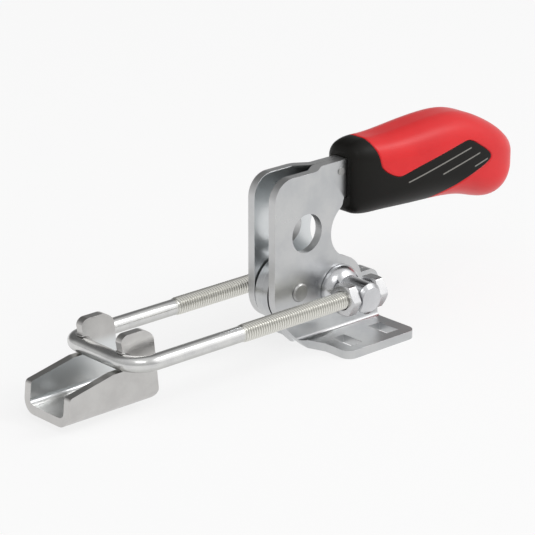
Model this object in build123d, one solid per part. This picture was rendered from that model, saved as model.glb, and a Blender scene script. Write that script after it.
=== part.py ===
# Toggle clamp of the hook type: a U-bolt on a swinging cross bar draws its separate
# catch plate towards a base that is folded from two angle plates.
# Origin: centre of the base's mounting face. +X points to the grip, +Z away from the face.

from math import atan2, cos, degrees, hypot, radians, sin, tan
from build123d import *
import os

# Running clearances
pivot_clearance = 0.05      # radial, base bore and lever bore round what turns in them
rod_clearance = 0.05        # radial, rod in cross bar and nuts
fixed_clearance = 0.02      # radial, between pieces that are riveted or pressed together
side_clearance = 0.15       # between faces that turn past each other
seat_clearance = 0.3        # stop under the journal, and catch notch round the U-bolt

# Base
base_length = 31.4          # flanges, along X
base_width = 43.0           # over both flanges
base_thickness = 2.9
base_bend = 1.5             # inside radius where a wall turns into its flange
flange_corner = 3.5
flange_front_blend = 6.0    # hollow that widens the plate towards its bend
slot_length = 9.0           # across the base
slot_width = 5.5
slot_pitch_x = 16.7
slot_pitch_y = 26.0
pivot_x = -23.5
pivot_z = 21.5
base_lobe_radius = 11.2     # wall round the pivot
base_front_slope = 45.0     # degrees, lower front edge of the wall
wall_rear_z = 20.0          # top of the upright behind the seat
wall_rear_corner = 4.0

# Lever
lever_thickness = 3.0
lever_gap = 0.5             # between a base wall and a lever plate
lever_front_radius = 11.0   # round the pivot, and so the front edge
lever_top_z = 61.0
lever_top_corner = 7.5
lever_hole_diameter = 13.0
lever_hole_x = -20.4
lever_hole_z = 41.0
trunnion_lobe_radius = 10.6
relief_radius = 9.7         # hollow between cross bar and neck
relief_bearing = 72.5       # degrees from +X, from cross bar to the middle of the hollow
neck_fold_x = -16.1         # first fold on the top edge
neck_fold_angle = 51.0      # degrees, slope of the folds
neck_fold_run = 3.9         # from the first fold to the second
neck_fold_inside = 1.0
tang_end_x = 56.0
neck_rivet_diameter = 2.0
neck_rivet_head = 2.6
neck_rivet_rise = 0.35
neck_rivet_x = -2.2
neck_rivet_z = 57.3
pin_diameter = 6.3
pin_rise = 0.8              # past the lever's outer face
pin_chamfer = 0.5

# Cross bar on which the U-bolt swings
trunnion_x = -6.1
trunnion_z = 19.0
journal_diameter = 8.0
journal_socket = 3.0        # depth of the axle in each half
hub_diameter = 16.0
hub_rim = 0.7
bar_diameter = 10.5
bar_end_y = 22.0
bar_across_flats = 8.0      # flats that seat the nuts
bar_start_y = 11.0          # where the hub's flank runs out into the bar
bar_chamfer = 1.2
hub_flank_tangents = ((-0.25, 1.0), (-1.6, 1.0))    # radially and along Y, at rim and bar

# U-bolt and nuts
rod_spacing = 32.3
shank_diameter = 5.26
thread_diameter = 5.9
thread_start_x = -55.6
hook_bar_x = -100.7         # axis of the closed end
hook_bend = 7.0             # inside radius of the two corners
rod_past_nut = 0.9
rod_chamfer = 0.6
nut_across_flats = 10.0
nut_height = 4.0

# Catch plate
catch_thickness = 2.8
catch_width = 20.0
catch_floor_z = 2.6         # its mounting face hangs this far above the base's
catch_bend = 2.0            # inside radius
catch_front_x = -122.3
catch_front_lean = 1.1
catch_front_z = 12.6
catch_lip_x = -104.3        # where the top edge meets the notch
catch_rear_x = -86.4
catch_rear_lean = 2.3
ear_top_z = 28.8
ear_front_x = -103.4
ear_front_corner = 2.6
ear_rear_corner = 5.5
catch_rear_corner = 3.5
catch_hole_diameter = 5.5
catch_hole_pitch = 16.0
catch_hole_x = -100.5       # middle of the two holes

# Grip, with stations as (x, lowest z, highest z, half width, edge radius)
grip_front_x = 0.4
grip_stations = [
    (grip_front_x, 44.2, 62.8, 4.8, 3.2),
    (1.6, 42.4, 64.8, 6.7, 4.8),
    (4.0, 41.3, 66.0, 7.9, 6.0),
    (12.0, 40.6, 66.6, 9.4, 7.4),
    (26.0, 40.0, 67.2, 10.8, 8.6),
    (42.0, 39.2, 68.0, 11.4, 9.2),
    (52.5, 37.6, 67.0, 11.5, 9.2),
    (61.0, 35.1, 63.8, 11.2, 9.0),
    (67.0, 34.3, 60.6, 10.6, 8.7),
    (71.0, 35.2, 58.0, 9.7, 8.0),
    (74.0, 37.8, 55.6, 8.2, 6.8),
    (76.4, 41.4, 53.6, 5.8, 4.8),
    (77.8, 45.0, 51.0, 3.0, 2.4),
]
tang_clearance = 0.05


# Sizes that follow
pivot = (pivot_x, pivot_z)
trunnion = (trunnion_x, trunnion_z)
lever_inner_y = base_thickness + lever_gap
lever_outer_y = lever_inner_y + lever_thickness
bend_height = base_bend + base_thickness
journal_radius = journal_diameter / 2
swing_radius = hypot(trunnion_x - pivot_x, trunnion_z - pivot_z)
relief_centre = (
    trunnion_x + (trunnion_lobe_radius + relief_radius) * cos(radians(relief_bearing)),
    trunnion_z + (trunnion_lobe_radius + relief_radius) * sin(radians(relief_bearing)),
)
neck_low_z = relief_centre[1] + relief_radius
rod_y = rod_spacing / 2
hub_face_y = lever_outer_y + side_clearance
nut_seat = bar_across_flats / 2 + fixed_clearance
nut_across_corners = nut_across_flats / cos(radians(30))
bar_flat_start_y = rod_y - nut_across_corners / 2 - side_clearance
rod_end_x = trunnion_x + nut_seat + nut_height + rod_past_nut
catch_half = catch_width / 2
hook_radius = hook_bend + shank_diameter / 2
hook_reach = catch_half - (rod_y - hook_radius)     # how far the catch covers the bend
hook_set_back = hook_radius - (hook_radius ** 2 - max(hook_reach, 0) ** 2) ** 0.5


def side_prism(face, reach):
    # A side outline, drawn in X and Z, carried through both sides of the centre plane.
    return extrude(Plane.XZ * face, amount=reach, both=True)


def y_rod(radius, centre, y_from, y_to):
    # Cylinder along Y between two places.
    start = Plane((centre[0], y_from, centre[1]), x_dir=(1, 0, 0), z_dir=(0, 1, 0))
    return extrude(start * Circle(radius), amount=y_to - y_from)


def x_rod(radius, y, z, x_from, x_to):
    # Cylinder along X between two places.
    start = Plane((x_from, y, z), x_dir=(0, 1, 0), z_dir=(1, 0, 0))
    return extrude(start * Circle(radius), amount=x_to - x_from)


def ring_sector(centre, inner, outer, first, last):
    # Flat sector of a ring between two bearings in degrees, as the journal sweeps it.
    steps = [first + (last - first) * step / 4 for step in range(5)]

    def at(radius, bearing):
        angle = radians(bearing)
        return (centre[0] + radius * cos(angle), centre[1] + radius * sin(angle))

    outline = [
        ThreePointArc(at(outer, steps[0]), at(outer, steps[2]), at(outer, steps[4])),
        Line(at(outer, steps[4]), at(inner, steps[4])),
        ThreePointArc(at(inner, steps[4]), at(inner, steps[2]), at(inner, steps[0])),
        Line(at(inner, steps[0]), at(outer, steps[0])),
    ]
    return make_face(Curve() + outline)


def base_wall_outline():
    # Lobe round the pivot, sloped nose, seat for the journal and an upright behind it.
    half = base_length / 2
    slope = radians(base_front_slope)
    nose_top = (pivot_x - base_lobe_radius * sin(slope), pivot_z - base_lobe_radius * cos(slope))
    nose_x = nose_top[0] + nose_top[1] / tan(slope)
    foot = make_face(Polyline(
        pivot, nose_top, (nose_x + 1 / tan(slope), -1), (half, -1), (half, wall_rear_z),
        (pivot_x, wall_rear_z), pivot,
    ))
    rear_corner = foot.vertices().sort_by_distance((half, wall_rear_z, 0))[0]
    foot = fillet(rear_corner, wall_rear_corner)
    lobe = Pos(*pivot) * Circle(base_lobe_radius)
    seat_radius = journal_radius + seat_clearance
    bearing = degrees(atan2(trunnion_z - pivot_z, trunnion_x - pivot_x))
    sweep = ring_sector(
        pivot, swing_radius - seat_radius, swing_radius + seat_radius, bearing, bearing + 110
    )
    return lobe + foot - sweep - Pos(*trunnion) * Circle(seat_radius), nose_x


def base_flange_outline(nose_x):
    # Seen from above: the flange's front edge widens in a hollow towards the bend.
    half = base_length / 2
    edge = base_width / 2
    flange = make_face(Polyline(
        (nose_x - 20, 0), (nose_x - 20, base_thickness), (nose_x - bend_height, base_thickness),
        (nose_x, bend_height), (-half, bend_height + flange_front_blend), (-half, edge), (half, edge),
        (half, 0), (nose_x - 20, 0),
    ))
    corners = flange.vertices().sort_by(Axis.Y)[-2:]
    flange = fillet(corners, flange_corner)
    blend = flange.vertices().sort_by_distance((-half, bend_height + flange_front_blend, 0))[0]
    flange = fillet(blend, flange_front_blend / 2)
    for slot_x in (-slot_pitch_x / 2, slot_pitch_x / 2):
        flange -= Pos(slot_x, slot_pitch_y / 2) * Rectangle(slot_width, slot_length)
    return flange


def base_plate():
    # One angle plate on the +Y side: wall against the centre plane, flange outwards.
    edge = base_width / 2
    bent = make_face(Polyline(
        (0, 40), (0, 0), (edge, 0), (edge, base_thickness),
        (base_thickness, base_thickness), (base_thickness, 40), (0, 40),
    ))
    outside = bent.vertices().sort_by_distance((0, 0, 0))[0]
    bent = fillet(outside, bend_height)
    inside = bent.vertices().sort_by_distance((base_thickness, base_thickness, 0))[0]
    bent = fillet(inside, base_bend)
    blank = extrude(Plane.YZ * bent, amount=60, both=True)
    wall, nose_x = base_wall_outline()
    plate = blank & side_prism(wall, base_width)
    plate &= extrude(base_flange_outline(nose_x), amount=60)
    plate -= y_rod(pin_diameter / 2 + pivot_clearance, pivot, -1, base_thickness + 1)
    return plate


def lever_outline():
    # Foot round pivot and cross bar, upright, hollow behind it, neck and tang.
    foot = make_hull(
        (Pos(*pivot) * Circle(lever_front_radius)).edges()
        + (Pos(*trunnion) * Circle(trunnion_lobe_radius)).edges()
    )
    front_x = pivot_x - lever_front_radius
    tangent = (
        trunnion_x + trunnion_lobe_radius * cos(radians(relief_bearing)),
        trunnion_z + trunnion_lobe_radius * sin(radians(relief_bearing)),
    )
    upright = make_face(Polyline(
        (front_x, pivot_z), (front_x, lever_top_z), (tang_end_x, lever_top_z),
        (tang_end_x, neck_low_z), (relief_centre[0], neck_low_z), relief_centre,
        tangent, trunnion, (front_x, pivot_z),
    ))
    top_front = upright.vertices().sort_by_distance((front_x, lever_top_z, 0))[0]
    upright = fillet(top_front, lever_top_corner)
    outline = foot + upright - Pos(*relief_centre) * Circle(relief_radius)
    outline -= Pos(lever_hole_x, lever_hole_z) * Circle(lever_hole_diameter / 2)
    outline -= Pos(*pivot) * Circle(pin_diameter / 2 + fixed_clearance)
    return outline - Pos(*trunnion) * Circle(journal_radius + pivot_clearance)


def lever_sheet():
    # Sheet on the -Y side, folded twice so that the two plates meet at the neck.
    drop = lever_inner_y
    turn = atan2(drop, neck_fold_run)
    shift = lever_thickness * tan(turn / 2)
    near = -shift
    far = near + neck_fold_run
    slope = radians(neck_fold_angle)
    across = Plane(
        (neck_fold_x, 0, lever_top_z),
        x_dir=(sin(slope), 0, cos(slope)), z_dir=(cos(slope), 0, -sin(slope)),
    )
    profile = make_face(Polyline(
        (-90, lever_inner_y), (near, lever_inner_y), (far, 0), (110, 0), (110, lever_thickness),
        (far + shift, lever_thickness), (near + shift, lever_outer_y), (-90, lever_outer_y),
        (-90, lever_inner_y),
    ))
    outer_fold = neck_fold_inside + lever_thickness
    folds = [
        ((near, lever_inner_y), neck_fold_inside), ((far, 0), outer_fold),
        ((far + shift, lever_thickness), neck_fold_inside), ((near + shift, lever_outer_y), outer_fold),
    ]
    for (u, v), radius in folds:
        profile = fillet(profile.vertices().sort_by_distance((u, v, 0))[0], radius)
    return extrude(across * profile, amount=90, both=True)


def lever_plate():
    return lever_sheet() & side_prism(lever_outline(), base_width)


def pivot_pin():
    end = lever_outer_y + pin_rise
    pin = y_rod(pin_diameter / 2, pivot, -end, end)
    return chamfer(pin.edges().filter_by(GeomType.CIRCLE), pin_chamfer)


def neck_rivet():
    # Shank through both plates with a low head on each side.
    centre = (neck_rivet_x, neck_rivet_z)
    shank = y_rod(neck_rivet_diameter / 2, centre, -lever_thickness, lever_thickness)
    outer = lever_thickness + neck_rivet_rise
    rivet = shank
    for low, high in ((lever_thickness, outer), (-outer, -lever_thickness)):
        rivet += y_rod(neck_rivet_head / 2, centre, low, high)
    return rivet


def trunnion_half():
    # +Y half of the cross bar: socket for the axle, hub with a falling flank, drilled bar.
    hub = hub_diameter / 2
    bar = bar_diameter / 2
    section = make_face(Curve() + [
        Line((0, hub_face_y), (hub, hub_face_y)),
        Line((hub, hub_face_y), (hub, hub_face_y + hub_rim)),
        Spline((hub, hub_face_y + hub_rim), (bar, bar_start_y), tangents=hub_flank_tangents),
        Line((bar, bar_start_y), (bar, bar_end_y - bar_chamfer)),
        Line((bar, bar_end_y - bar_chamfer), (bar - bar_chamfer, bar_end_y)),
        Line((bar - bar_chamfer, bar_end_y), (0, bar_end_y)),
        Line((0, bar_end_y), (0, hub_face_y)),
    ])
    half = Pos(trunnion_x, 0, trunnion_z) * revolve(section, Axis.Y)
    flat_length = bar_end_y - bar_flat_start_y
    for side in (-1, 1):
        spare = Box(bar_diameter, flat_length + 2, 2 * bar_diameter)
        x = trunnion_x + side * (bar_across_flats + bar_diameter) / 2
        half -= Pos(x, bar_flat_start_y + flat_length / 2 + 1, trunnion_z) * spare
    half -= x_rod(thread_diameter / 2 + rod_clearance, rod_y, trunnion_z, trunnion_x - 20, trunnion_x + 20)
    socket_radius = journal_radius + fixed_clearance
    return half - y_rod(socket_radius, trunnion, hub_face_y - 1, hub_face_y + journal_socket)


def trunnion_axle():
    reach = hub_face_y + journal_socket - fixed_clearance
    return y_rod(journal_radius, trunnion, -reach, reach)


def hex_nut(x_from):
    # Nut round a rod on the +Y side, flats up and down, both faces chamfered.
    start = Plane((x_from, rod_y, trunnion_z), x_dir=(0, 1, 0), z_dir=(1, 0, 0))
    body = extrude(start * RegularPolygon(nut_across_corners / 2, 6), amount=nut_height)
    fall = (nut_across_corners - nut_across_flats) / 2 * tan(radians(30))
    flat = nut_across_flats / 2 - 0.2
    wide = nut_across_corners / 2 + 0.2
    depth = fall * (wide - flat) / ((nut_across_corners - nut_across_flats) / 2)
    limit = make_face(Polyline(
        (0, 0), (flat, 0), (wide, depth), (wide, nut_height - depth), (flat, nut_height),
        (0, nut_height), (0, 0),
    ))
    turned = revolve(Plane(start.origin, x_dir=(0, 0, 1), z_dir=(0, 1, 0)) * limit,
                     Axis(start.origin, (1, 0, 0)))
    nut = body & turned
    return nut - x_rod(thread_diameter / 2 + rod_clearance, rod_y, trunnion_z, x_from - 1,
                       x_from + nut_height + 1)


def u_bolt():
    # Round bar bent twice; the threaded stretches are left as plain crest cylinders.
    path = FilletPolyline(
        (thread_start_x, -rod_y, trunnion_z), (hook_bar_x, -rod_y, trunnion_z),
        (hook_bar_x, rod_y, trunnion_z), (thread_start_x, rod_y, trunnion_z), radius=hook_radius,
    )
    start = Plane((thread_start_x, -rod_y, trunnion_z), x_dir=(0, 1, 0), z_dir=(-1, 0, 0))
    bolt = sweep(start * Circle(shank_diameter / 2), path=path)
    for side in (-1, 1):
        thread = x_rod(thread_diameter / 2, side * rod_y, trunnion_z, thread_start_x, rod_end_x)
        tip = thread.edges().filter_by(GeomType.CIRCLE).sort_by(Axis.X)[-1]
        bolt += chamfer(tip, rod_chamfer)
    return bolt


def catch_outline():
    # Side of the catch: low front, notch for the U-bolt under a hooked ear, rounded rear.
    notch = shank_diameter / 2 + seat_clearance
    notch_x = hook_bar_x + hook_set_back
    floor_z = trunnion_z - notch
    ear_rear_x = catch_rear_x - catch_rear_lean
    side = make_face(Polyline(
        (catch_front_x, catch_floor_z), (catch_front_x + catch_front_lean, catch_front_z),
        (catch_lip_x, floor_z), (notch_x, floor_z), (notch_x, trunnion_z + notch),
        (ear_front_x + 0.8, trunnion_z + notch), (ear_front_x, ear_top_z),
        (ear_rear_x, ear_top_z), (catch_rear_x, catch_floor_z + catch_rear_corner),
        (catch_rear_x - 1, catch_floor_z), (catch_front_x, catch_floor_z),
    ))
    rounds = [
        ((catch_front_x + catch_front_lean, catch_front_z), 1.4),
        ((ear_front_x, ear_top_z), ear_front_corner),
        ((ear_front_x + 0.8, trunnion_z + notch), 1.4),
        ((ear_rear_x, ear_top_z), ear_rear_corner),
        ((catch_rear_x - 1, catch_floor_z), catch_rear_corner),
    ]
    for (x, z), radius in rounds:
        side = fillet(side.vertices().sort_by_distance((x, z, 0))[0], radius)
    return side - Pos(notch_x, trunnion_z) * Circle(notch)


def catch_plate():
    channel = make_face(Polyline(
        (-catch_half, 40), (-catch_half, 0), (catch_half, 0), (catch_half, 40),
        (catch_half - catch_thickness, 40), (catch_half - catch_thickness, catch_thickness),
        (catch_thickness - catch_half, catch_thickness), (catch_thickness - catch_half, 40),
        (-catch_half, 40),
    ))
    for side in (-1, 1):
        outside = channel.vertices().sort_by_distance((side * catch_half, 0, 0))[0]
        channel = fillet(outside, catch_bend + catch_thickness)
        inside = channel.vertices().sort_by_distance(
            (side * (catch_half - catch_thickness), catch_thickness, 0))[0]
        channel = fillet(inside, catch_bend)
    blank = Pos(catch_front_x - 5, 0, catch_floor_z) * extrude(Plane.YZ * channel, amount=60)
    plate = blank & side_prism(catch_outline(), catch_width)
    for x in (catch_hole_x - catch_hole_pitch / 2, catch_hole_x + catch_hole_pitch / 2):
        plate -= Pos(x, 0, 0) * Cylinder(catch_hole_diameter / 2, 20)
    return plate


def grip_body():
    # Loft through upright stations, with room for the tang.
    faces = []
    for x, low, high, half_width, radius in grip_stations:
        station = Plane((x, 0, (low + high) / 2), x_dir=(0, 1, 0), z_dir=(1, 0, 0))
        faces.append(station * RectangleRounded(2 * half_width, high - low, radius))
    body = loft(faces)
    room = lever_thickness + tang_clearance
    height = lever_top_z - neck_low_z + 2 * tang_clearance
    length = tang_end_x + tang_clearance - grip_front_x + 5
    middle = Pos(grip_front_x - 5 + length / 2, 0, (lever_top_z + neck_low_z) / 2)
    return body - middle * Box(length, 2 * room, height)


def grip_soft_region():
    # Side outline of the soft part: collar, underside and a blade that sweeps back.
    tip_top = (50.5, 58.7)
    tip_low = (55.5, 46.9)
    edge = [
        Spline((11.0, 69.0), (9.2, 60.9), (11.4, 56.0), (17.6, 52.8), tangents=[(-1, -3), (1, -0.3)]),
        Spline((17.6, 52.8), (34.0, 55.6), tip_top, tangents=[(1, -0.1), (1, 0.05)]),
        Spline(tip_top, (60.8, 51.8), tip_low, tangents=[(1, -0.1), (-1, -0.25)]),
        Spline(tip_low, (42.0, 44.0), (27.0, 36.0), tangents=[(-1, -0.2), (-1, -1)]),
        Polyline((27.0, 36.0), (-5.0, 36.0), (-5.0, 72.0), (11.0, 72.0), (11.0, 69.0)),
    ]
    return side_prism(make_face(Curve() + edge), base_width)


def main():
    grip = grip_body()
    soft = grip_soft_region()
    nut_front_x = trunnion_x - nut_seat - nut_height
    nut_rear_x = trunnion_x + nut_seat
    far_sided = {
        "base_plate": base_plate(),
        "trunnion_half": trunnion_half(),
        "nut_front": hex_nut(nut_front_x),
        "nut_rear": hex_nut(nut_rear_x),
    }
    nodes = {
        "pivot_pin": pivot_pin(),
        "neck_rivet": neck_rivet(),
        "trunnion_axle": trunnion_axle(),
        "u_bolt": u_bolt(),
        "catch_plate": catch_plate(),
        "grip_hard": grip - soft,
        "grip_soft": grip & soft,
    }
    for name, solid in far_sided.items():
        nodes[name + "_far"] = solid
        nodes[name + "_near"] = mirror(solid, Plane.XZ)
    near_lever = lever_plate() - y_rod(
        neck_rivet_diameter / 2 + fixed_clearance, (neck_rivet_x, neck_rivet_z), -20, 20)
    nodes["lever_plate_near"] = near_lever
    nodes["lever_plate_far"] = mirror(near_lever, Plane.XZ)
    os.makedirs("parts", exist_ok=True)
    for name, solid in nodes.items():
        export_step(solid, "parts/" + name + ".step")
        print(name, round(solid.volume, 1))


main()
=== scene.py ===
import math
import bmesh
import bpy
import numpy as np
from mathutils import Matrix, Vector


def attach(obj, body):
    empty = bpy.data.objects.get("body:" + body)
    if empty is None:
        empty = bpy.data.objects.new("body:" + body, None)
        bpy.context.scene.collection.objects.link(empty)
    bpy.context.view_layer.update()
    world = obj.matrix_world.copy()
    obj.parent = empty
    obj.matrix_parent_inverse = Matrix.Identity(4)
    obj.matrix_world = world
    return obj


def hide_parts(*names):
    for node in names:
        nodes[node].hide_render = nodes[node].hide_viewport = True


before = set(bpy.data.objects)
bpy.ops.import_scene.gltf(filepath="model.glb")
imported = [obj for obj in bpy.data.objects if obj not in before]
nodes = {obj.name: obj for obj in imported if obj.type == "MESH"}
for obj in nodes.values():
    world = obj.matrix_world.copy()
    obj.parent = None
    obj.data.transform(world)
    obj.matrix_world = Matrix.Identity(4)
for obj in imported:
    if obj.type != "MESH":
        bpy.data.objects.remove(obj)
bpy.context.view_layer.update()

mm = 0.001  # metres in a millimetre
print("clamp frame loaded with", len(nodes), "nodes")


class Wire:
    # a socket inside an expression: every operator on it adds one Math node
    def __init__(self, finish, socket):
        self.finish, self.socket = finish, socket

    def __add__(self, other):
        return self.finish.calc("ADD", self, other)

    def __radd__(self, other):
        return self.finish.calc("ADD", other, self)

    def __sub__(self, other):
        return self.finish.calc("SUBTRACT", self, other)

    def __rsub__(self, other):
        return self.finish.calc("SUBTRACT", other, self)

    def __mul__(self, other):
        return self.finish.calc("MULTIPLY", self, other)

    def __rmul__(self, other):
        return self.finish.calc("MULTIPLY", other, self)

    def __pow__(self, other):
        return self.finish.calc("POWER", self, other)

    def __abs__(self):
        return self.finish.calc("ABSOLUTE", self)


class Finish:
    # one procedural material or world, with a single way of adding nodes to it
    def __init__(self, name, kind="materials"):
        self.material = getattr(bpy.data, kind).new(name)
        self.material.use_nodes = True
        self.tree = self.material.node_tree
        self.tree.nodes.clear()
        self.place = self.add("ShaderNodeTexCoord", output="Object")
        self.facing = self.add("ShaderNodeTexCoord", output="Normal")

    def add(self, kind, settings=None, sockets=None, output=0):
        # a node of that kind, its settings first, then links or values on its sockets
        node = self.tree.nodes.new(kind)
        for key, value in (settings or {}).items():
            setattr(node, key, value)
        for key, value in (sockets or {}).items():
            if isinstance(value, Wire):
                self.tree.links.new(value.socket, node.inputs[key])
            elif isinstance(value, tuple) and len(value) == 3 and node.inputs[key].type == "RGBA":
                node.inputs[key].default_value = (*value, 1)
            else:
                node.inputs[key].default_value = value
        return Wire(self, node.outputs[output])

    def calc(self, operation, *terms):
        return self.add("ShaderNodeMath", {"operation": operation}, dict(enumerate(terms)))

    def part(self, vector, axis):
        return self.add("ShaderNodeSeparateXYZ", None, {0: vector}, axis)

    def noise(self, scale, stretch=(1, 1, 1), detail=3.0, rough=0.5):
        spread = self.add("ShaderNodeMapping", None, {"Vector": self.place, "Scale": stretch})
        return self.add("ShaderNodeTexNoise", None,
                        {"Vector": spread, "Scale": scale, "Detail": detail, "Roughness": rough})

    def rise(self, value, low, high):
        # 0 below low, 1 above high, smooth between
        return self.add("ShaderNodeMapRange", {"interpolation_type": "SMOOTHSTEP"},
                        {0: value, 1: low, 2: high})

    def tint(self, share, first, second):
        return self.add("ShaderNodeMix", {"data_type": "RGBA"}, {0: share, 6: first, 7: second}, 2)

    def relief(self, height, distance, base=None):
        sockets = {"Strength": 1.0, "Distance": distance, "Height": height}
        if base is not None:
            sockets["Normal"] = base
        return self.add("ShaderNodeBump", None, sockets, "Normal")

    def calmed(self, share):
        # the surface's direction turned towards its own sheet's side, where share is over zero
        keep = 1 - share
        scale = self.add("ShaderNodeCombineXYZ", None, {"X": keep, "Y": 1.0, "Z": keep}, "Vector")
        bent = self.add("ShaderNodeVectorMath", {"operation": "MULTIPLY"},
                        {0: self.facing, 1: scale}, "Vector")
        toWorld = {"vector_type": "NORMAL", "convert_from": "OBJECT", "convert_to": "WORLD"}
        return self.add("ShaderNodeVectorTransform", toWorld, {"Vector": bent}, "Vector")

    def shade(self, **values):
        sockets = {key.replace("_", " "): value for key, value in values.items()}
        return self.close(self.add("ShaderNodeBsdfPrincipled", None, sockets))

    def close(self, surface, end="ShaderNodeOutputMaterial"):
        last = self.tree.nodes.new(end)
        self.tree.links.new(surface.socket, last.inputs["Surface"])
        return self.material


def sheetFinish(name, values):
    # zinc-plated sheet: cloudy plating, faint rolling lines, streaked cut edges, and painted
    # light that brightens the faces that look inwards; the fold's direction is turned towards the
    # flat side
    f = Finish(name)
    x, y, z = [f.part(f.place, axis) for axis in "XYZ"]
    cloud = f.noise(values["cloudScale"], detail=4.0, rough=0.6)
    fine = f.noise(values["fineScale"], detail=2.0)
    rolled = f.noise(values["rollScale"], values["rollStretch"], detail=3.0, rough=0.6)
    streak = f.noise(values["rollScale"], values["cutStretch"], detail=2.0)
    side = abs(f.part(f.facing, "Y"))
    cut = values["cutShare"] * (1 - f.rise(side, *values["cutSide"]))
    tone = f.tint(f.rise(cloud, *values["cloudRise"]), values["tone"], values["shade"])
    cutPlain, cutStreak = values["cutMix"]
    tone = f.tint(cut * (cutPlain + cutStreak * streak), tone, values["cutTone"])
    hand = 2 * f.rise(y, -0.01 * mm, 0.01 * mm) - 1  # -1 on the near side, 1 on the far side
    innerTop = values["innerTop"] * mm
    # painted light: faces that look inwards, below innerTop, are tinted towards a brighter tone
    inner = f.rise(-1 * hand * f.part(f.facing, "Y"), *values["innerSide"]) \
        * (1 - f.rise(z, innerTop - values["innerFade"] * mm, innerTop))
    tone = f.tint(values["innerPaintedLightShare"] * inner, tone, values["innerPaintedLightTone"])
    cloudRough, rollRough, cutRough = values["roughSwings"]
    rough = values["rough"] + cloudRough * (cloud - 0.5) + rollRough * (rolled - 0.5) \
        + cutRough * cut
    rollHeight, streakHeight, fineHeight, cloudHeight = values["heights"]
    height = rollHeight * rolled * (1 - cut) + streakHeight * streak * cut \
        + fineHeight * fine + cloudHeight * cloud
    fromX, toX, fromZ, toZ = [place * mm for place in values["foldPlace"]]
    fold = values["foldCalm"] * f.rise(side, *values["foldSide"]) \
        * f.rise(x, fromX, toX) * f.rise(z, fromZ, toZ)
    normal = f.relief(height, values["relief"], f.calmed(fold))
    return f.shade(Base_Color=tone, Roughness=rough, Metallic=1.0, Normal=normal)


def turnedFinish(name, values):
    # turned and plated bar: rings round the Y axis, with a soft cloud over them
    f = Finish(name)
    cloud = f.noise(values["cloudScale"], detail=3.0)
    rings = f.noise(values["ringScale"], values["ringStretch"], detail=2.0)
    tone = f.tint(f.rise(cloud, *values["cloudRise"]), values["tone"], values["shade"])
    cloudRough, ringRough = values["roughSwings"]
    rough = values["rough"] + cloudRough * (cloud - 0.5) + ringRough * (rings - 0.5)
    normal = f.relief(rings + values["cloudHeight"] * cloud, values["relief"])
    return f.shade(Base_Color=tone, Roughness=rough, Metallic=1.0, Normal=normal)


def rodFinish(name, values):
    # drawn wire with lines along it, with painted shade below; the rolled threads are warmer, with
    # painted shade in their roots where the distance to the rod's axis is small
    f = Finish(name)
    x, y, z = [f.part(f.place, axis) for axis in "XYZ"]
    start, fade = values["threadStart"] * mm, values["threadFade"] * mm
    thread = f.rise(x, start - fade, start + fade)
    drawn = f.noise(values["drawnScale"], values["drawnStretch"], detail=3.0)
    cloud = f.noise(values["cloudScale"], detail=3.0)
    tone = f.tint(f.rise(cloud, *values["cloudRise"]), values["tone"], values["shade"])
    tone = f.tint(thread, tone, values["threadTone"])
    offRod, lift = abs(y) - values["rodY"] * mm, z - values["rodZ"] * mm
    fromAxis = (offRod * offRod + lift * lift) ** 0.5
    # painted shade in the thread roots, where the distance to the rod's axis is small
    rootShade = thread * (1 - f.rise(fromAxis, values["rootRadius"] * mm, values["crestRadius"] * mm))
    tone = f.tint(values["rootShadeShare"] * rootShade, tone, values["paintedShadeTone"])
    # painted shade on the faces that look downwards, with less of it on the threads
    underShade = f.rise(-1 * f.part(f.facing, "Z"), *values["underSide"])
    underShade = values["underShadeShare"] * underShade * (1 - values["underThread"] * thread)
    tone = f.tint(underShade, tone, values["paintedShadeTone"])
    cloudRough, drawnRough, threadRough = values["roughSwings"]
    rough = values["rough"] + cloudRough * (cloud - 0.5) + drawnRough * (drawn - 0.5) \
        + threadRough * thread
    normal = f.relief(drawn * (1 - thread) + values["cloudHeight"] * cloud, values["relief"])
    return f.shade(Base_Color=tone, Roughness=rough, Metallic=1.0, Normal=normal)


def plasticFinish(name, values):
    # moulded plastic: fine spark-eroded texture, faint flow clouds and, where there are lines,
    # shallow pale strokes on both sides, each as long and wide as its distances allow
    f = Finish(name)
    grain = f.noise(values["grainScale"], detail=2.0, rough=0.6)
    cloud = f.noise(values["cloudScale"], detail=3.0)
    tone = f.tint(f.rise(cloud, *values["cloudRise"]), values["tone"], values["shade"])
    cloudRough, grainRough = values["roughSwings"]
    rough = values["rough"] + cloudRough * (cloud - 0.5) + grainRough * (grain - 0.5)
    height = grain + values["cloudHeight"] * cloud
    if values["lines"]:
        x, z = f.part(f.place, "X"), f.part(f.place, "Z")
        mark, halves, ends = 0.0, values["lineHalves"], values["lineEnds"]
        for fromX, fromZ, toX, toZ in values["lines"]:
            length = math.hypot(toX - fromX, toZ - fromZ)
            wayX, wayZ = (toX - fromX) / length, (toZ - fromZ) / length
            offX, offZ = x - (fromX + toX) / 2 * mm, z - (fromZ + toZ) / 2 * mm
            along, across = abs(offX * wayX + offZ * wayZ), abs(offZ * wayX - offX * wayZ)
            mark = (1 - f.rise(across, halves[0] * mm, halves[1] * mm)) \
                * (1 - f.rise(along, (length / 2 + ends[0]) * mm, (length / 2 + ends[1]) * mm)) \
                + mark
        mark = mark * f.rise(abs(f.part(f.facing, "Y")), *values["lineSide"])
        tone = f.tint(mark * values["lineShare"], tone, values["lineTone"])
        height = height - values["lineDepth"] * mark
    normal = f.relief(height, values["relief"])
    return f.shade(Base_Color=tone, Roughness=rough, Normal=normal, IOR=values["ior"],
                   Specular_IOR_Level=values["gloss"])


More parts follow.
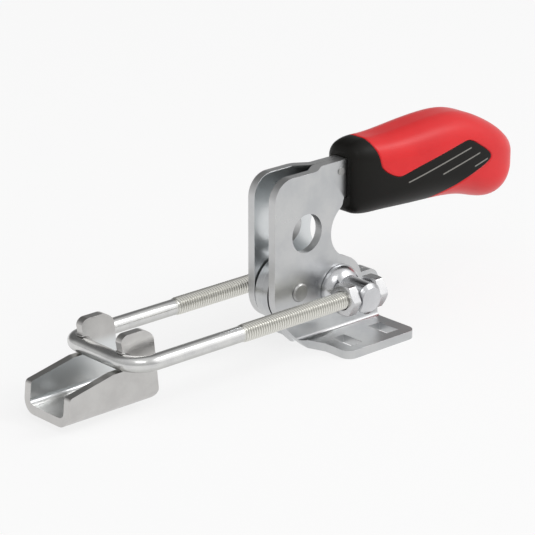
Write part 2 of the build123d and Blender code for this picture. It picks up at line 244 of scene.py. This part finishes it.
sheetValues = {
    "tone": (0.58, 0.585, 0.585), "shade": (0.51, 0.52, 0.53), "cutTone": (0.62, 0.62, 0.62),
    # painted light on the faces that look inwards: its tone, its share, and the height where it
    # stops
    "innerPaintedLightTone": (0.76, 0.785, 0.795), "innerPaintedLightShare": 0.85, "innerTop": 90.0, "innerFade": 4.0,
    "innerSide": (0.3, 0.8), "rough": 0.30,
    "roughSwings": (0.10, 0.07, 0.10),  # with cloud, rolling lines, cut edge
    "heights": (0.5, 1.3, 0.25, 0.8),  # of rolling lines, cut streaks, fine grain, cloud
    "relief": 0.000012, "cloudScale": 110.0, "cloudRise": (0.3, 0.72), "fineScale": 1400.0,
    "rollScale": 900.0, "rollStretch": (0.03, 1, 1), "cutStretch": (1, 0.04, 1),
    "cutShare": 0.0, "cutSide": (0.35, 0.75), "cutMix": (0.35, 0.5),
    "foldCalm": 0.0, "foldSide": (0.10, 0.25),
    "foldPlace": (-20, -17, 38, 44),  # from x, to x, from z, to z
}
turnedValues = {
    "cloudScale": 160.0, "cloudRise": (0.3, 0.7), "cloudHeight": 0.3, "relief": 0.000010,
    "ringScale": 600.0, "ringStretch": (1.0, 1.0, 1.0),
    "roughSwings": (0.10, 0.08),  # with cloud, rings
}
plasticValues = {
    "cloudScale": 70.0, "cloudRise": (0.3, 0.75), "cloudHeight": 0.5, "ior": 1.5, "lines": [],
    "roughSwings": (0.10, 0.06),  # with cloud, grain
}
finishes = {
    "leverZinc": sheetFinish("leverZinc", {**sheetValues, "cutShare": 1.0, "foldCalm": 1.2}),
    "baseZinc": sheetFinish("baseZinc", sheetValues),
    "catchZinc": sheetFinish("catchZinc", {
        **sheetValues, "tone": (0.590, 0.582, 0.568), "shade": (0.520, 0.510, 0.500),
        "innerTop": 21.0}),
    "turnedZinc": turnedFinish("turnedZinc", {
        **turnedValues, "tone": (0.66, 0.665, 0.68), "shade": (0.58, 0.585, 0.60), "rough": 0.24,
        "ringStretch": (0.05, 3.0, 0.05)}),
    "pinZinc": turnedFinish("pinZinc", {
        **turnedValues, "tone": (0.46, 0.46, 0.45), "shade": (0.38, 0.38, 0.375), "rough": 0.38,
        "ringStretch": (1.0, 0.2, 1.0), "relief": 0.000014}),
    "nutZinc": turnedFinish("nutZinc", {
        **turnedValues, "tone": (0.66, 0.66, 0.66), "shade": (0.56, 0.56, 0.57), "rough": 0.26}),
    "rodZinc": rodFinish("rodZinc", {
        "tone": (0.68, 0.68, 0.67), "shade": (0.60, 0.60, 0.60), "threadTone": (0.81, 0.80, 0.75),
        # painted shade tone, used for the thread roots and for the undersides
        "paintedShadeTone": (0.24, 0.24, 0.21), "rootShadeShare": 0.5, "rootRadius": 2.45, "crestRadius": 2.85,
        "underShadeShare": 0.42, "underSide": (0.05, 0.75), "underThread": 0.5, "rough": 0.22,
        "roughSwings": (0.10, 0.08, 0.06),  # with cloud, drawing lines, threads
        "rodY": 16.15, "rodZ": 19.0, "threadStart": -58.3, "threadFade": 1.0,
        "drawnScale": 700.0, "drawnStretch": (0.05, 1, 1), "cloudScale": 220.0,
        "cloudRise": (0.35, 0.7), "cloudHeight": 0.4, "relief": 0.000008}),
    "redPlastic": plasticFinish("redPlastic", {
        **plasticValues, "tone": (0.77, 0.021, 0.024), "shade": (0.70, 0.017, 0.021),
        "rough": 0.34, "gloss": 0.32, "grainScale": 2600.0, "relief": 0.000020}),
    "blackPlastic": plasticFinish("blackPlastic", {
        **plasticValues, "tone": (0.0070, 0.0064, 0.0050), "shade": (0.0050, 0.0046, 0.0038),
        "rough": 0.44, "gloss": 0.17, "grainScale": 2200.0, "relief": 0.000028,
        # from x and z, to x and z
        "lines": [(21.8, 50.0, 50.7, 56.4), (37.3, 49.7, 55.1, 53.7), (52.5, 49.3, 59.1, 50.8)],
        "lineHalves": (0.13, 0.338), "lineEnds": (-0.4, 0.2), "lineSide": (0.5, 0.7),
        "lineDepth": 6.0, "lineShare": 0.9, "lineTone": (0.30, 0.29, 0.27)}),
}
print("finishes made:", ", ".join(finishes))


def meshPiece(name, points, quads, triangles, finish, sharpAngle=180.0):
    # plain arrays of places and corner numbers become one smooth-shaded object
    mesh = bpy.data.meshes.new(name)
    mesh.vertices.add(len(points))
    mesh.vertices.foreach_set("co", (np.asarray(points) * mm).astype(np.float32).ravel())
    loops = np.concatenate([quads.ravel(), triangles.ravel()]).astype(np.int32)
    starts = np.concatenate([4 * np.arange(len(quads)),
                             4 * len(quads) + 3 * np.arange(len(triangles))]).astype(np.int32)
    mesh.loops.add(len(loops))
    mesh.loops.foreach_set("vertex_index", loops)
    mesh.polygons.add(len(starts))
    mesh.polygons.foreach_set("loop_start", starts)
    mesh.polygons.foreach_set("use_smooth", np.ones(len(starts), dtype=bool))
    mesh.update(calc_edges=True)
    mesh.validate()
    if sharpAngle < 180:
        mesh.set_sharp_from_angle(angle=math.radians(sharpAngle))
    mesh.materials.append(finishes[finish])
    piece = bpy.data.objects.new(name, mesh)
    bpy.context.scene.collection.objects.link(piece)
    return piece


def ringedPiece(name, rings, finish, capped=True, sharpAngle=180.0):
    # rings[row, column, xyz]: quads join neighbouring rows and columns, and the columns run
    # round; with caps each end closes on its middle, without them the last row joins the first
    rows, columns = rings.shape[:2]
    here = np.arange(rows * columns).reshape(rows, columns)
    beside = np.roll(here, -1, axis=1)
    if capped:
        quads = np.stack([here[:-1], beside[:-1], beside[1:], here[1:]], axis=-1).reshape(-1, 4)
        first, last = rows * columns, rows * columns + 1
        opening = np.stack([np.full(columns, first), beside[0], here[0]], axis=-1)
        closing = np.stack([np.full(columns, last), here[-1], beside[-1]], axis=-1)
        triangles = np.concatenate([opening, closing])
        middles = [rings[0].mean(0)[None], rings[-1].mean(0)[None]]
        points = np.concatenate([rings.reshape(-1, 3), *middles])
    else:
        after, afterBeside = np.roll(here, -1, axis=0), np.roll(beside, -1, axis=0)
        quads = np.stack([here, beside, afterBeside, after], axis=-1).reshape(-1, 4)
        triangles = np.zeros((0, 3), dtype=int)
        points = rings.reshape(-1, 3)
    return meshPiece(name, points, quads, triangles, finish, sharpAngle)


def smoothStep(value, low, high):
    # 3 s^2 - 2 s^3 of the share s of the way from low to high
    share = np.clip((value - low) / (high - low), 0, 1)
    return share * share * (3 - 2 * share)


def naturalSpline(knots, values, at):
    # cubic through the values at the knots, with no curvature at its two ends
    count, gap = len(knots), np.diff(knots)
    system, right = np.eye(count), np.zeros((count, values.shape[1]))
    middle = np.arange(1, count - 1)
    system[middle, middle - 1] = gap[:-1]
    system[middle, middle] = 2 * (gap[:-1] + gap[1:])
    system[middle, middle + 1] = gap[1:]
    slope = np.diff(values, axis=0) / gap[:, None]
    right[1:-1] = 6 * (slope[1:] - slope[:-1])
    bend = np.linalg.solve(system, right)
    span = np.clip(np.searchsorted(knots, at) - 1, 0, count - 2)
    width = gap[span][:, None]
    before, after = at[:, None] - knots[span][:, None], knots[span + 1][:, None] - at[:, None]
    return (bend[span] * after ** 3 + bend[span + 1] * before ** 3) / (6 * width) \
        + (values[span] / width - bend[span] * width / 6) * after \
        + (values[span + 1] / width - bend[span + 1] * width / 6) * before


drawBolt = {
    "rodY": 16.15, "rodZ": 19.0, "rodEndX": 2.82, "barX": -100.7, "nearBend": 8.2, "farBend": 4.8,
    "shankRadius": 2.63, "crestRadius": 2.95, "threadDepth": 0.56, "pitch": 1.0,
    "threadStart": -58.3, "runOutFrom": -0.2, "runOutTo": 1.6, "blunt": 0.125, "endChamfer": 0.6,
    "rowsPerPitch": 12, "plainRows": 150, "around": 48,
}


def drawBoltPath(values, travel):
    # straight leg, quarter arc, straight bar, quarter arc, straight leg, in one level plane
    near, far = values["nearBend"], values["farBend"]
    marks = np.cumsum([0, values["rodEndX"] - values["barX"] - near, math.pi / 2 * near,
                       2 * values["rodY"] - near - far, math.pi / 2 * far,
                       values["rodEndX"] - values["barX"] - far])
    run = [np.clip(travel - marks[part], 0, marks[part + 1] - marks[part]) for part in range(5)]
    first, second = run[1] / near, run[3] / far
    x = values["rodEndX"] - run[0] - near * np.sin(first) + far * (1 - np.cos(second)) + run[4]
    y = -values["rodY"] + near * (1 - np.cos(first)) + run[2] + far * np.sin(second)
    turn = math.pi - first - second
    heading = np.stack([np.cos(turn), np.sin(turn)], axis=-1)
    return x, y, heading, marks[-1]


def makeDrawBolt(values):
    # radius = shank, or on the threads crest minus depth times a blunt triangle wave of
    # (travel / pitch - angle / turn), which is a right-hand thread on both legs; the wave is
    # (1 + 2 b) times a triangle from 0 to 1, less b, kept between 0 and 1
    total = drawBoltPath(values, np.zeros(1))[3]
    threaded = values["rodEndX"] - values["threadStart"] + 1.0
    step = values["pitch"] / values["rowsPerPitch"]
    threadRows = np.arange(0.0, threaded, step)
    plainRows = np.linspace(threadRows[-1] + step, total - threadRows[-1] - step,
                            values["plainRows"])
    travel = np.concatenate([threadRows, plainRows, total - threadRows[::-1]])
    x, y, heading, _ = drawBoltPath(values, travel)
    angle = 2 * math.pi * np.arange(values["around"]) / values["around"]
    fromEnd = np.minimum(travel, total - travel)
    phase = (travel[:, None] / values["pitch"] - angle[None] / (2 * math.pi)) % 1.0
    blunt = values["blunt"]
    wave = np.clip((1 + 2 * blunt) * np.abs(2 * phase - 1) - blunt, 0, 1)
    thread = values["crestRadius"] - values["threadDepth"] * (1 - wave)
    onThread = smoothStep(values["rodEndX"] - fromEnd, values["threadStart"] + values["runOutFrom"],
                          values["threadStart"] + values["runOutTo"])[:, None]
    radius = values["shankRadius"] + onThread * (thread - values["shankRadius"])
    tip = values["crestRadius"] - values["endChamfer"]
    radius = np.minimum(radius, tip + fromEnd[:, None])
    across = np.stack([-heading[:, 1], heading[:, 0]], axis=-1)
    rings = np.empty((len(travel), values["around"], 3))
    rings[..., 0] = x[:, None] + radius * np.cos(angle) * across[:, :1]
    rings[..., 1] = y[:, None] + radius * np.cos(angle) * across[:, 1:]
    rings[..., 2] = values["rodZ"] + radius * np.sin(angle)
    piece = ringedPiece("drawBoltRod", rings, "rodZinc", sharpAngle=50.0)
    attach(piece, "draw_bolt")
    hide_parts("u_bolt")
    return piece


makeDrawBolt(drawBolt)
print("draw bolt made")


nutValues = {
    "acrossFlats": 10.0, "height": 4.0, "faceRadius": 4.75, "bore": 3.0, "boreChamfer": 0.35,
    "chamferRise": 0.55, "chamferAngle": 30.0, "cornerKnee": 5.62, "cornerGive": 0.25,
    "chamferStep": 0.05, "around": 120, "rodY": 16.15, "rodZ": 19.0,
    "frontX": -14.12, "rearX": -2.08,
}


def makeNut(name, fromX, side, values):
    # outer radius = smaller of the hexagon's, half the width over the cosine of the angle from
    # the nearest flat, and a cone's that opens away from each face; the ring then runs over one
    # face, through the bore and back over the other face; flats lie up and down
    angle = 2 * math.pi * np.arange(values["around"]) / values["around"]
    hexagon = values["acrossFlats"] / 2 / np.cos((angle % (math.pi / 3)) - math.pi / 6)
    knee = values["cornerKnee"]
    hexagon = np.minimum(hexagon, knee + values["cornerGive"] * (hexagon - knee))
    height, rise = values["height"], values["chamferRise"]
    depth = np.concatenate([np.linspace(0, rise, 9), np.linspace(rise, height - rise, 5)[1:-1],
                            np.linspace(height - rise, height, 9)])
    fromFace = np.minimum(depth, height - depth)
    slope = math.tan(math.radians(values["chamferAngle"]))
    cone = values["faceRadius"] + fromFace / slope + values["chamferStep"] * (fromFace > 0)
    outer = np.minimum(hexagon[None], cone[:, None])
    chamfer = values["boreChamfer"]
    inner = np.array([values["bore"] + chamfer, values["bore"], values["bore"],
                      values["bore"] + chamfer])[:, None] + 0 * hexagon[None]
    innerDepth = np.array([height, height - chamfer, chamfer, 0.0])
    radius = np.concatenate([outer, inner])
    along = np.concatenate([depth, innerDepth])
    rings = np.empty((*radius.shape, 3))
    rings[..., 0] = fromX + along[:, None]
    rings[..., 1] = side * values["rodY"] + radius * np.cos(angle)
    rings[..., 2] = values["rodZ"] + radius * np.sin(angle)
    piece = ringedPiece(name, rings[:, ::-1], "nutZinc", capped=False, sharpAngle=28.0)
    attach(piece, "trunnion")
    return piece


for where, fromX in (("front", nutValues["frontX"]), ("rear", nutValues["rearX"])):
    for hand, side in (("near", -1), ("far", 1)):
        nut = makeNut("hexNut" + where.title() + hand.title(), fromX, side, nutValues)
        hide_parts("nut_" + where + "_" + hand)
print("nuts made")


gripValues = {
    # x, lowest z, highest z, half width, edge radius
    "stations": [
        (0.4, 44.2, 62.8, 4.8, 3.2), (1.6, 42.4, 64.8, 6.7, 4.8), (4.0, 41.3, 66.0, 7.9, 6.0),
        (12.0, 40.6, 66.3, 9.4, 7.4), (26.0, 40.0, 66.9, 10.8, 8.6), (42.0, 39.2, 67.9, 11.4, 9.2),
        (52.5, 37.6, 67.0, 11.5, 9.2), (61.0, 35.1, 63.8, 11.2, 9.0), (67.0, 34.4, 60.6, 10.6, 8.7),
        (71.0, 35.6, 58.0, 9.6, 7.9), (74.0, 38.3, 55.7, 8.0, 6.6), (76.3, 42.2, 53.6, 5.6, 4.6),
        (77.5, 45.6, 51.0, 2.8, 2.3),
    ],
    # outline of the black part seen from the side, x and z
    "softOutline": [
        (8.0, 75.0), (8.1, 66.4), (8.7, 64.4), (9.6, 61.9), (10.2, 58.6), (10.9, 56.9),
        (12.1, 55.8), (13.7, 54.5), (17.0, 52.9), (18.7, 52.6), (20.3, 52.8), (26.6, 54.5),
        (33.4, 55.9), (40.3, 57.4), (46.9, 58.9), (49.6, 59.3), (52.1, 58.3), (55.2, 56.3),
        (58.4, 54.2), (60.7, 52.3), (61.0, 51.0), (60.2, 49.9), (57.6, 48.7), (52.6, 47.1),
        (48.0, 45.6), (44.2, 44.1), (40.5, 42.9), (36.5, 41.6), (32.0, 38.0), (31.0, 30.0),
        (-8.0, 30.0), (-8.0, 75.0),
    ],
    "slot": (47.9, 61.05, 3.05),  # lowest z, highest z, half width
    "slotCorner": 0.3, "slotEndX": 56.0, "mouthRound": 0.35, "faceRows": 9,
    "sink": 1.4, "lip": 0.30, "lipRun": 0.95, "hardFrontX": 4.5, "softRearX": 67.0,
    "domeRise": 0.28, "domeRows": 7, "rows": 250, "around": 288,
}


def roundedSection(low, high, half, radius, around):
    # rounded rectangle, evenly spaced along its edge: side, corner arc and top in each quarter
    upright, level = (high - low) / 2 - radius, half - radius
    corner = math.pi / 2 * radius
    quarter = around // 4
    column = np.arange(around)
    share = (column % quarter) / quarter
    which = column // quarter
    share = np.where(which % 2 == 0, share, 1 - share)
    travel = share[None] * (upright + corner + level)[:, None]
    turn = np.clip((travel - upright[:, None]) / radius[:, None], 0, math.pi / 2)
    rise = np.minimum(travel, upright[:, None]) + radius[:, None] * np.sin(turn)
    back = np.clip(travel - (upright + corner)[:, None], 0, None)
    wide = half[:, None] - radius[:, None] * (1 - np.cos(turn)) - back
    signY = np.where((which == 0) | (which == 3), 1, -1)
    signZ = np.where(which < 2, 1, -1)
    return signY * wide, (low + high)[:, None] / 2 + signZ * rise


def gripRings(values, fromX, toX):
    # sections carried along a smooth curve through the stations, evenly spaced along its top
    stations = np.array(values["stations"])
    along = np.diff(stations[:, 0])
    widening = 0.5 * np.abs(np.diff(stations[:, 3])) + 0.5 * np.abs(np.diff(stations[:, 2]))
    reach = np.concatenate([[0], np.cumsum(np.hypot(along, widening))])
    at = np.linspace(0, reach[-1], values["rows"])
    row = naturalSpline(reach, stations, at)
    row = row[(row[:, 0] >= fromX) & (row[:, 0] <= toX)]
    y, z = roundedSection(row[:, 1], row[:, 2], row[:, 3], row[:, 4], values["around"])
    return np.stack([np.broadcast_to(row[:, :1], y.shape), y, z], axis=-1)


def outlineDistance(outline, x, z):
    # signed distance to a closed outline whose corners were cut three times; positive inside
    edge = np.array(outline, dtype=float)
    for _ in range(3):
        after = np.roll(edge, -1, axis=0)
        edge = np.stack([0.75 * edge + 0.25 * after, 0.25 * edge + 0.75 * after], axis=1)
        edge = edge.reshape(-1, 2)
    start, end = edge, np.roll(edge, -1, axis=0)
    along = end - start
    size = (along ** 2).sum(1)
    flat = np.stack([x.ravel(), z.ravel()], axis=-1)
    nearest, inside = np.full(len(flat), 1e9), np.zeros(len(flat), dtype=bool)
    for a, d, s, b in zip(start, along, size, end):
        share = np.clip(((flat - a) @ d) / s, 0, 1)
        nearest = np.minimum(nearest, np.hypot(*(flat - a - share[:, None] * d).T))
        if a[1] != b[1]:
            crosses = (a[1] > flat[:, 1]) != (b[1] > flat[:, 1])
            inside ^= crosses & (flat[:, 0] < a[0] + (flat[:, 1] - a[1]) * d[0] / d[1])
    return np.where(inside, nearest, -nearest).reshape(x.shape)


def slotRings(values, places):
    # rings round the lever's tang: x and how far each stands off the tang
    low, high, half = values["slot"]
    place = np.array(places)
    y, z = roundedSection(low - place[:, 1], high + place[:, 1], half + place[:, 1],
                          values["slotCorner"] + place[:, 1], values["around"])
    return np.stack([np.broadcast_to(place[:, :1], y.shape), y, z], axis=-1)


def makeGripPart(name, node, finish, values, hard):
    # the grip's skin, pushed inwards by a smooth step of the distance to the colour's outline;
    # the rings run out of the lever's slot, over the front face and along the skin, and the
    # hard part ends in a quarter circle's dome
    fromX, toX = (values["hardFrontX"], math.inf) if hard else (-math.inf, values["softRearX"])
    skin = gripRings(values, fromX, toX)
    skinFront = skin[0, 0, 0]
    rowWay = np.gradient(skin, axis=0)
    roundWay = np.roll(skin, -1, axis=1) - np.roll(skin, 1, axis=1)
    outward = np.cross(roundWay, rowWay)
    outward /= np.linalg.norm(outward, axis=-1, keepdims=True)
    inSoft = outlineDistance(values["softOutline"], skin[..., 0], skin[..., 2])
    beyond = inSoft if hard else -inSoft
    sunk = values["sink"] * smoothStep(beyond, -values["lip"], values["lipRun"] - values["lip"])
    skin = skin - outward * sunk[..., None]
    mouth = values["mouthRound"]
    tunnel = slotRings(values, [(values["slotEndX"], 0.0), (skinFront + mouth, 0.0),
                                (skinFront + 0.3 * mouth, 0.3 * mouth), (skinFront, mouth)])
    shares = np.linspace(0, 1, values["faceRows"])[1:-1][:, None, None]
    face = tunnel[-1][None] * (1 - shares) + skin[0][None] * shares
    rings = [tunnel, face, skin]
    if hard:
        turn = np.linspace(0, math.pi / 2, values["domeRows"])[1:-1]
        middle = skin[-1].mean(0)
        dome = middle + (skin[-1][None] - middle) * np.cos(turn)[:, None, None]
        dome[..., 0] = skin[-1, 0, 0] + values["domeRise"] * np.sin(turn)[:, None]
        rings.append(dome)
    piece = ringedPiece(name, np.concatenate(rings), finish, sharpAngle=50.0)
    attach(piece, "lever")
    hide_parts(node)
    return piece


makeGripPart("gripShell", "grip_hard", "redPlastic", gripValues, hard=True)
makeGripPart("gripPad", "grip_soft", "blackPlastic", gripValues, hard=False)
print("grip made")


roundingValues = {"mergeGap": 2e-6, "flatAngle": 0.3, "edgeAngle": 32.0, "segments": 3}
edgeValues = {
    # node: new name, body, record's slot, finish, edge rounding in mm
    "base_plate_near": ("baseAngleNear", "base", "base_steel", "baseZinc", 0.22),
    "base_plate_far": ("baseAngleFar", "base", "base_steel", "baseZinc", 0.22),
    "lever_plate_near": ("leverSheetNear", "lever", "lever_steel", "leverZinc", 0.28),
    "lever_plate_far": ("leverSheetFar", "lever", "lever_steel", "leverZinc", 0.28),
    "catch_plate": ("catchChannel", "draw_bolt", "catch_steel", "catchZinc", 0.25),
    "trunnion_half_near": ("crossBarNear", "trunnion", "turned_steel", "turnedZinc", 0.12),
    "trunnion_half_far": ("crossBarFar", "trunnion", "turned_steel", "turnedZinc", 0.12),
    "pivot_pin": ("pivotPin", "lever", "pin_steel", "pinZinc", 0.12),
}


catchSpread = {
    "inner": 3.0, "outer": 7.0, "spread": 1.0, "shift": 1.0, "earDrop": 1.3, "earBack": 2.0,
    "lipBase": 19.0, "lipTop": 21.9, "earBase": 22.0, "earBlend": 3.0, "earTop": 28.8,
    "lipFront": -103.2, "lipRear": -101.0, "earFront": -100.0, "earRear": -90.0,
}


def spreadCatch(values, places):
    # with s a smooth step: y += shift + sign(y) * spread * s(|y|), z -= drop * s(z) and
    # x += back * s(z) * (1 - s(x)), where the step in x is short at the lip and long above it
    x, y, z = places.T / mm
    wide = values["spread"] * smoothStep(np.abs(y), values["inner"], values["outer"])
    drop = values["earDrop"] * smoothStep(z, values["earBase"], values["earTop"])
    above = smoothStep(z, values["earBase"], values["earBase"] + values["earBlend"])
    front = values["lipFront"] + above * (values["earFront"] - values["lipFront"])
    rear = values["lipRear"] + above * (values["earRear"] - values["lipRear"])
    back = values["earBack"] * smoothStep(z, values["lipBase"], values["lipTop"]) \
        * (1 - smoothStep(x, front, rear))
    return mm * np.stack([x + back, y + values["shift"] + np.sign(y) * wide, z - drop], axis=-1)


def roundedCopy(node, name, body, finish, rounding):
    # merged copy of a machined solid: equal corners joined, flat faces made whole, edges rounded
    work = bmesh.new()
    work.from_mesh(nodes[node].data)
    bmesh.ops.remove_doubles(work, verts=work.verts, dist=roundingValues["mergeGap"])
    bmesh.ops.dissolve_limit(work, angle_limit=math.radians(roundingValues["flatAngle"]),
                             verts=work.verts, edges=work.edges)
    for face in work.faces:
        face.smooth = True
    mesh = bpy.data.meshes.new(name)
    work.to_mesh(mesh)
    work.free()
    if node == "catch_plate":
        places = np.empty(3 * len(mesh.vertices), dtype=np.float32)
        mesh.vertices.foreach_get("co", places)
        places = spreadCatch(catchSpread, places.reshape(-1, 3).astype(float))
        mesh.vertices.foreach_set("co", places.astype(np.float32).ravel())
    mesh.materials.append(finishes[finish])
    piece = bpy.data.objects.new(name, mesh)
    bpy.context.scene.collection.objects.link(piece)
    bevel = piece.modifiers.new("softEdges", "BEVEL")
    bevel.width = rounding * mm
    bevel.segments = roundingValues["segments"]
    bevel.limit_method = "ANGLE"
    bevel.angle_limit = math.radians(roundingValues["edgeAngle"])
    even = piece.modifiers.new("evenNormals", "WEIGHTED_NORMAL")
    even.keep_sharp = True
    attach(piece, body)
    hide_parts(node)
    return piece


for node, (name, body, slotName, finish, rounding) in edgeValues.items():
    roundedCopy(node, name, body, finish, rounding)
for node in ("neck_rivet", "trunnion_axle"):
    nodes[node].material_slots[0].material = finishes["pinZinc"]
print("pressed and turned pieces made")


floorValues = {"size": 6.0, "tone": (0.97, 0.97, 0.97), "litShare": 0.22}


def makeFloor(values):
    # square floor: part of it takes light and the object's shadow, and to the camera, to metal
    # and to glass the rest of it is plain white
    half = values["size"] / 2
    corners = [(-half, -half, 0), (half, -half, 0), (half, half, 0), (-half, half, 0)]
    mesh = bpy.data.meshes.new("studioFloor")
    mesh.from_pydata(corners, [], [(0, 1, 2, 3)])
    floor = bpy.data.objects.new("studioFloor", mesh)
    bpy.context.scene.collection.objects.link(floor)
    f = Finish("floorPaint")
    lit = f.add("ShaderNodeBsdfDiffuse", None, {"Color": values["tone"]})
    white = f.add("ShaderNodeEmission", None, {"Color": (1.0, 1.0, 1.0), "Strength": 1.0})
    seen, mirrored, bent = [f.add("ShaderNodeLightPath", output="Is " + ray + " Ray")
                            for ray in ("Camera", "Glossy", "Transmission")]
    direct = f.calc("MAXIMUM", seen, f.calc("MAXIMUM", mirrored, bent))
    share = (1 - values["litShare"]) * direct
    f.close(f.add("ShaderNodeMixShader", None, {0: share, 1: lit, 2: white}))
    mesh.materials.append(f.material)


roomValues = {
    "horizon": 0.62, "zenith": 0.80, "climb": (0.2, 0.9),
    # direction, cosine where the patch is full, cosine where it ends, gain
    "patches": [((0.12, 0.735, 0.668), 0.93, 0.62, -0.78), ((0.66, -0.60, 0.45), 0.97, 0.80, 1.1)],
}


def makeRoom(values):
    # level = a climb from horizon to zenith, times 1 + gain * smooth step of the cosine to a patch
    f = Finish("softRoom", "worlds")
    way = f.add("ShaderNodeTexCoord", output="Generated")
    climb = f.rise(f.part(way, "Z"), *values["climb"])
    level = values["horizon"] + (values["zenith"] - values["horizon"]) * climb
    for towards, full, end, gain in values["patches"]:
        cosine = f.add("ShaderNodeVectorMath", {"operation": "DOT_PRODUCT"},
                       {0: way, 1: towards}, "Value")
        level = level * (1 + gain * f.rise(cosine, end, full))
    sky = f.add("ShaderNodeBackground", None, {"Color": (1.0, 1.0, 1.0), "Strength": level})
    bpy.context.scene.world = f.close(sky, "ShaderNodeOutputWorld")


lampValues = {
    # name: place, aimed at, width, height, watts
    "keyLamp": ((-0.45, -0.55, 0.85), (-0.02, 0.0, 0.03), 0.45, 0.45, 1.3),
    "sideLamp": ((0.52, -0.56, 0.74), (0.03, 0.0, 0.05), 0.35, 0.25, 1.5),
}


def makeLamps(values):
    # soft square lamps, each turned to face its target
    for name, (place, target, width, height, watts) in values.items():
        lamp = bpy.data.lights.new(name, "AREA")
        lamp.shape, lamp.size, lamp.size_y, lamp.energy = "RECTANGLE", width, height, watts
        stand = bpy.data.objects.new(name, lamp)
        stand.location = place
        stand.rotation_euler = (Vector(target) - Vector(place)).to_track_quat("-Z", "Y").to_euler()
        bpy.context.scene.collection.objects.link(stand)


cameraValues = {
    "place": (-0.55764, -0.57539, 0.31259), "lens": 172.93, "sensor": 36.0, "nearest": 0.01,
    "right": (0.73846, -0.67430, 0.00098), "up": (0.22883, 0.25198, 0.94029),
    "back": (-0.63428, -0.69414, 0.34038),
}


def makeCamera(values):
    # the camera's own right, up and back directions make its turn
    lens = bpy.data.cameras.new("viewCamera")
    lens.lens, lens.sensor_width = values["lens"], values["sensor"]
    lens.clip_start = values["nearest"]
    camera = bpy.data.objects.new("viewCamera", lens)
    turn = Matrix((values["right"], values["up"], values["back"])).transposed()
    camera.matrix_world = Matrix.Translation(values["place"]) @ turn.to_4x4()
    bpy.context.scene.collection.objects.link(camera)
    bpy.context.scene.camera = camera
    bpy.context.scene.view_settings.view_transform = "Standard"


makeFloor(floorValues)
makeRoom(roomValues)
makeLamps(lampValues)
makeCamera(cameraValues)
print("stage set")
